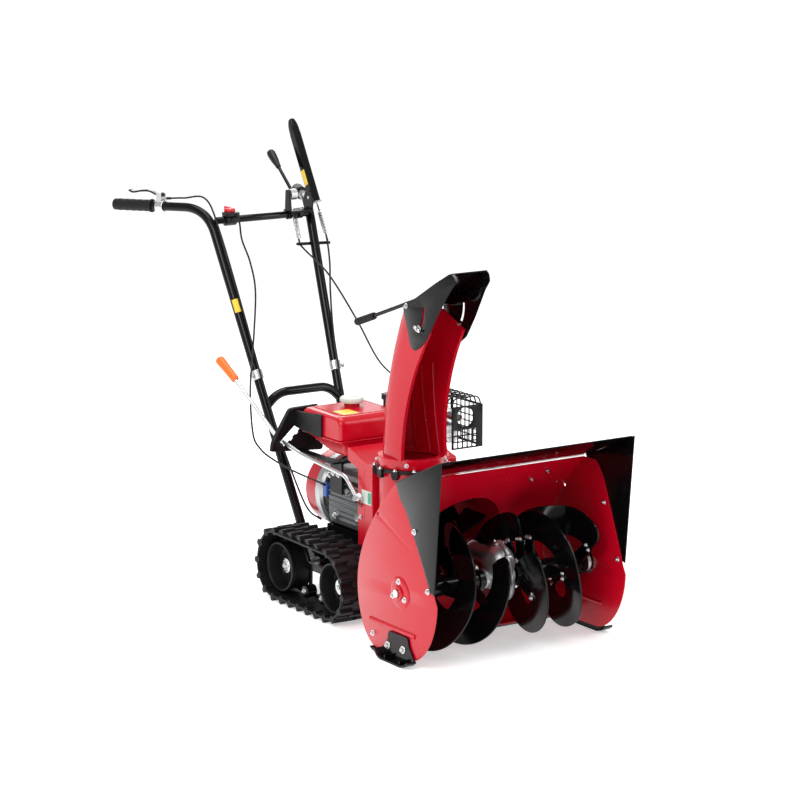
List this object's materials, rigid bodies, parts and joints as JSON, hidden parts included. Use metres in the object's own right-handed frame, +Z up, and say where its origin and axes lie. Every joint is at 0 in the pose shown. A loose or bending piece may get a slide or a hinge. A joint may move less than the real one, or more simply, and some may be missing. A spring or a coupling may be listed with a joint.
{
  "type": "two stage snowblower",
  "caption": "Tracked walk-behind snow thrower with helical augers, an impeller, a turning discharge chute, a small engine and tubular handles.",
  "frame": {"origin": "centre of the bounding box at ground level, under the machine", "axes": "+Z up, -Y forward towards the auger, +X to the left of an operator who faces the auger"},
  "size_m": [0.6126, 1.5895, 1.1819],
  "materials": {
    "red_paint": "glossy red enamel on sheet steel",
    "black_paint": "satin black enamel",
    "black_plastic": "moulded black plastic",
    "bright_steel": "bright zinc plated steel",
    "cast_aluminium": "cast aluminium, slightly rough",
    "rubber": "ribbed rubber grip",
    "track_rubber": "moulded rubber track with lugs",
    "white_plastic": "pale plastic cap",
    "red_plastic": "red moulded knob",
    "orange_plastic": "orange moulded grip on a bright steel rod"
  },
  "bodies": {
    "frame": {"housing_shell": "red_paint", "side_plate_right": "red_paint", "side_plate_left": "red_paint", "wing_right": "black_paint", "wing_left": "black_paint", "top_lip": "black_paint", "skid_right": "black_paint", "skid_left": "black_paint", "scraper_bar": "black_paint", "axle_bearing_right": "red_paint", "axle_bearing_left": "red_paint", "gear_case_right": "cast_aluminium", "gear_case_left": "cast_aluminium", "impeller_drum": "red_paint", "chute_seat": "black_plastic", "belt_cover": "red_paint", "engine_block": "cast_aluminium", "recoil_cover": "red_paint", "fuel_tank": "red_paint", "air_cleaner": "black_plastic", "muffler": "bright_steel", "muffler_guard": "black_paint", "chassis": "black_paint", "track_belt_right": "track_rubber", "track_frame_right": "black_paint", "track_belt_left": "track_rubber", "track_frame_left": "black_paint", "handle_right": "black_paint", "grip_right": "rubber", "handle_left": "black_paint", "grip_left": "rubber", "crossbar": "black_paint", "brace_hoop": "black_paint", "lever_bracket": "black_paint", "throttle_base": "black_plastic", "hand_lever_mount": "bright_steel", "guide_plate": "black_plastic", "throttle_cable": "black_plastic", "clutch_cable": "black_plastic", "drive_cable": "black_plastic", "hand_lever_cable": "black_plastic"},
    "auger": {"auger_right": "black_paint", "auger_left": "black_paint", "auger_shaft": "bright_steel"},
    "impeller": {"impeller_fan": "black_paint", "impeller_shaft": "bright_steel"},
    "crankshaft": {"crank_pulley": "bright_steel"},
    "chute": {"chute": "red_paint"},
    "deflector": {"deflector": "black_paint", "deflector_lever": "black_paint"},
    "fuel_cap": {"fuel_cap": "white_plastic"},
    "starter_grip": {"starter_grip": "black_plastic"},
    "drive_wheels": {"drive_axle": "black_plastic"},
    "idler_wheels": {"idler_axle": "black_plastic"},
    "clutch_lever": {"clutch_lever": "black_paint"},
    "shift_lever": {"shift_lever": "black_paint"},
    "throttle_lever": {"throttle_lever": "red_plastic"},
    "hand_lever": {"hand_lever": "bright_steel"},
    "selector_lever": {"selector_lever": "orange_plastic"}
  },
  "joints": [
    {"name": "auger_spin", "type": "hinge", "parent": "frame", "child": "auger", "pos_m": [0, -0.615, 0.173], "axis": [1, 0, 0], "continuous": true},
    {"name": "impeller_spin", "type": "hinge", "parent": "frame", "child": "impeller", "pos_m": [0, -0.345, 0.22], "axis": [0, 1, 0], "continuous": true},
    {"name": "crank_spin", "type": "hinge", "parent": "frame", "child": "crankshaft", "pos_m": [0, -0.221, 0.265], "axis": [0, 1, 0], "continuous": true},
    {"name": "chute_turn", "type": "hinge", "parent": "frame", "child": "chute", "pos_m": [-0.068, -0.345, 0.413], "axis": [0, 0, 1], "range_deg": [-95, 95]},
    {"name": "deflector_tilt", "type": "hinge", "parent": "chute", "child": "deflector", "pos_m": [-0.068, -0.41, 0.826], "axis": [1, 0, 0], "range_deg": [0, 42]},
    {"name": "fuel_cap_turn", "type": "hinge", "parent": "frame", "child": "fuel_cap", "pos_m": [-0.042, -0.025, 0.52], "axis": [0, 0, 1], "range_deg": [0, 90]},
    {"name": "starter_pull", "type": "slide", "parent": "frame", "child": "starter_grip", "axis": [0, 1, 0], "range_m": [0, 0.5]},
    {"name": "drive_axle_spin", "type": "hinge", "parent": "frame", "child": "drive_wheels", "pos_m": [0, 0.035, 0.088], "axis": [1, 0, 0], "continuous": true},
    {"name": "idler_axle_spin", "type": "hinge", "parent": "frame", "child": "idler_wheels", "pos_m": [0, -0.225, 0.088], "axis": [1, 0, 0], "continuous": true},
    {"name": "clutch_lever_swing", "type": "hinge", "parent": "frame", "child": "clutch_lever", "pos_m": [0.146, 0.463, 0.975], "axis": [-1, 0, 0], "range_deg": [0, 42], "stiffness_Nm_per_rad": 1.2, "springref_deg": -40.11},
    {"name": "shift_lever_swing", "type": "hinge", "parent": "frame", "child": "shift_lever", "pos_m": [0.092, 0.479, 0.985], "axis": [1, 0, 0], "range_deg": [-18, 18]},
    {"name": "throttle_turn", "type": "hinge", "parent": "frame", "child": "throttle_lever", "pos_m": [-0.1, 0.493, 0.955], "axis": [0, 0, 1], "range_deg": [-50, 20]},
    {"name": "hand_lever_squeeze", "type": "hinge", "parent": "frame", "child": "hand_lever", "pos_m": [-0.223, 0.649, 0.987], "axis": [-0.8997, -0.4365, 0], "range_deg": [0, 9], "stiffness_Nm_per_rad": 0.3, "springref_deg": -28.65},
    {"name": "selector_swing", "type": "hinge", "parent": "frame", "child": "selector_lever", "pos_m": [-0.158, -0.235, 0.314], "axis": [0.6269, 0.288, -0.7239], "range_deg": [0, 9]}
  ],
  "couplings": [
    {"joint": "auger_spin", "follows": "impeller_spin", "ratio": 0.1},
    {"joint": "idler_axle_spin", "follows": "drive_axle_spin", "ratio": 1}
  ]
}
